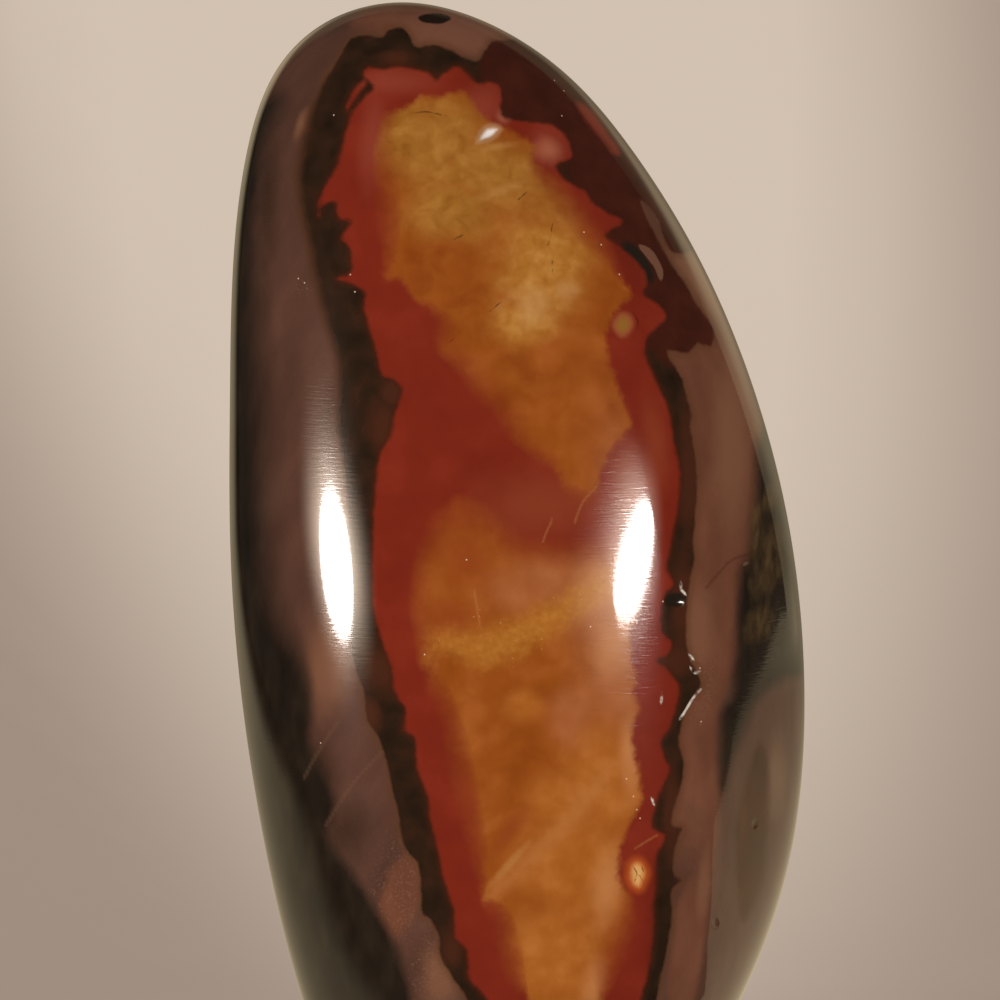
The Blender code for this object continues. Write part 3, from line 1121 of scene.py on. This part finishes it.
# %% The light of the mirrored paper
# A light is a product of changes. Each change is what is measured, from and to which distance in metres, and
# from and to which strength.
WALL_FOOT = ("height", 0.08, 0.25, 0.32, 1.0)
WALL_TOP = ("height", 0.34, 0.46, 1.0, 0.2)
NEAR_STONE = (("distance", 0.03, 0.52, 1.0, 0.0), ("across", -0.1, 0.05, 0.25, 0.62))
RIGHT_WALL = (("across", 0.15, 0.42, 0.0, 0.52), ("across", 0.5, 0.75, 1.0, 0.4), WALL_FOOT, WALL_TOP)
LEFT_WALL = (("across", -0.25, -0.1, 0.54, 0.0), WALL_FOOT, WALL_TOP)
RIGHT_FLOOR = (("across", 0.38, 0.6, 0.0, 0.4), ("height", 0.0, 0.06, 1.0, 0.0))
ALL_BUT_THE_TOP = (("height", 0.34, 0.5, 0.2, 0.0),)
LEAST_LIGHT = 0.1
# Each soft edge of the paper: the direction into it, how far the edge lies behind the stone's middle in
# metres, and between which shares of the distance the light comes up.
SOFT_EDGES = (
    ((0.884, 0.468, 0.0), 0.126, -0.12, 0.1),
    ((0.229, 0.973, 0.0), 0.0365, -0.07, 0.27),
)

mirrored_paper = bpy.data.materials.new("mirrored_paper")
glowing = bare_tree(mirrored_paper)
on_paper = add(glowing, "TexCoord", gives="Object")
across = add(glowing, "SeparateXYZ", on_paper, gives="X")
measures = {
    "distance": add(glowing, "VectorMath LENGTH", on_paper, gives="Value"),
    "across": across,
    "height": across.node.outputs["Z"],
}
strength = LEAST_LIGHT
for changes in (NEAR_STONE, RIGHT_WALL, LEFT_WALL, RIGHT_FLOOR, ALL_BUT_THE_TOP):
    light = 1.0
    for measure, *change in changes:
        changed = add(glowing, "MapRange SMOOTHSTEP", measures[measure], *change)
        light = add(glowing, "Math MULTIPLY", light, changed)
    strength = add(glowing, "Math ADD", strength, light)
for inward, behind, dark_share, lit_share in SOFT_EDGES:
    along = add(glowing, "VectorMath DOT_PRODUCT", on_paper, inward, gives="Value")
    past_edge = add(glowing, "Math DIVIDE", add(glowing, "Math ADD", along, behind), measures["distance"])
    come_up = add(glowing, "MapRange SMOOTHSTEP", past_edge, dark_share, lit_share)
    strength = add(glowing, "Math MULTIPLY", strength, come_up)
add(glowing, "OutputMaterial", add(glowing, "Emission", linear("#d3bf9a"), strength))
paper.data.materials.append(mirrored_paper)
hide_from(paper, "camera", "diffuse", "shadow")

# %% The lamps
LAMP_DISTANCE = 0.6
LAMP_COLOUR = (1.0, 0.96, 0.92)
# Each lamp: name, the point of its gleam in millimetres, azimuth and rise, half width and half height,
# roll, the light of the lamp and of its shade, and how much wider the shade is. All angles are in degrees.
LAMPS = (
    ("left_lamp", (-19.2, -18.6, 66.5), -122.0, -3.2, 9.4, 5.6, -6.6, 24.0, 42.0, 14.5),
    ("right_lamp", (12.4, -19.6, 66.3), 149.0, 2.15, 10.8, 2.65, 28.0, 33.8, 19.0, 12.5),
)
SHADE_COLOUR = (1.0, 0.8, 0.62, 1.0)
SHADE_SIDES = 64
SHADE_HIGHER = 5.0
SHADE_FADE = 2.6
# The shades stand a little behind their lamps, a little higher and nearer to the camera's line.
SHADE_BEHIND = 0.02
SHADE_TURN = 0.7
SHADE_LIFT = 0.8


def degrees_wide(angle, distance):
    """The length that spans an angle in degrees at a distance."""
    return distance * math.tan(math.radians(angle))


def towards(azimuth, rise_angle):
    """The direction at an azimuth from straight behind the stone, clockwise, and a rise above level."""
    turn, tilt = math.radians(azimuth), math.radians(rise_angle)
    return Vector((math.sin(turn) * math.cos(tilt), math.cos(turn) * math.cos(tilt), math.sin(tilt)))


def lamp_shade(name, strength):
    """The lit reflector round a lamp: a disc that glows less towards its rim, seen by reflections only."""
    form = bmesh.new()
    bmesh.ops.create_circle(form, cap_ends=True, segments=SHADE_SIDES, radius=1.0)
    disc = put_in_scene(name, form)
    lit_cloth = bpy.data.materials.new(name)
    tree = bare_tree(lit_cloth)
    out = add(tree, "VectorMath LENGTH", add(tree, "TexCoord", gives="Object"), gives="Value")
    left = add(tree, "Math SUBTRACT", 1.0, out, use_clamp=True)
    power = add(tree, "Math MULTIPLY", add(tree, "Math POWER", left, SHADE_FADE), strength)
    add(tree, "OutputMaterial", add(tree, "Emission", SHADE_COLOUR, power))
    disc.data.materials.append(lit_cloth)
    hide_from(disc, "camera", "diffuse", "shadow")
    return disc


# %% Set out the lamps
for name, gleam, azimuth, rise_angle, half_wide, half_high, roll, lamp_light, shade_light, wider in LAMPS:
    lamp = bpy.data.objects.new(name, bpy.data.lights.new(name, "AREA"))
    lamp.data.shape = "ELLIPSE"
    lamp.data.size = 2 * degrees_wide(half_wide, LAMP_DISTANCE)
    lamp.data.size_y = 2 * degrees_wide(half_high, LAMP_DISTANCE)
    lamp.data.energy = lamp_light * math.pi * (math.pi / 4 * lamp.data.size * lamp.data.size_y)
    lamp.data.color = LAMP_COLOUR
    direction = towards(azimuth, rise_angle)
    lamp.location = Vector(gleam) * MM + direction * LAMP_DISTANCE
    facing = direction.to_track_quat("Z", "Y") @ Quaternion((0, 0, 1), math.radians(roll))
    lamp.rotation_euler = facing.to_euler()
    hide_from(lamp, "camera")
    bpy.context.scene.collection.objects.link(lamp)
    shade = lamp_shade(name + "_shade", shade_light)
    shade_distance = LAMP_DISTANCE + SHADE_BEHIND
    direction = towards(azimuth + math.copysign(SHADE_TURN, azimuth), rise_angle + SHADE_LIFT)
    shade.location = Vector(gleam) * MM + direction * shade_distance
    shade.rotation_euler = facing.to_euler()
    shade.scale.x = degrees_wide(half_wide + wider, shade_distance)
    shade.scale.y = degrees_wide(half_high + SHADE_HIGHER, shade_distance)
    print(name, "stands at", [round(c / MM) for c in lamp.location], "mm")

# %% The soft light all round
SOFT_LIGHT = ((1.0, 0.97, 0.93, 1.0), 0.62)
# What the polish mirrors where neither lamps nor paper are.
DIM_ROOM = ((1.0, 0.9, 0.8, 1.0), 0.02)

world = bpy.data.worlds.new("studio")
bpy.context.scene.world = world
room = bare_tree(world)
is_glossy = add(room, "LightPath", gives="Is Glossy Ray")
soft_light, dim_room = add(room, "Background", *SOFT_LIGHT), add(room, "Background", *DIM_ROOM)
add(room, "OutputWorld", add(room, "MixShader", is_glossy, soft_light, dim_room))
bpy.context.scene.view_settings.view_transform = "Standard"
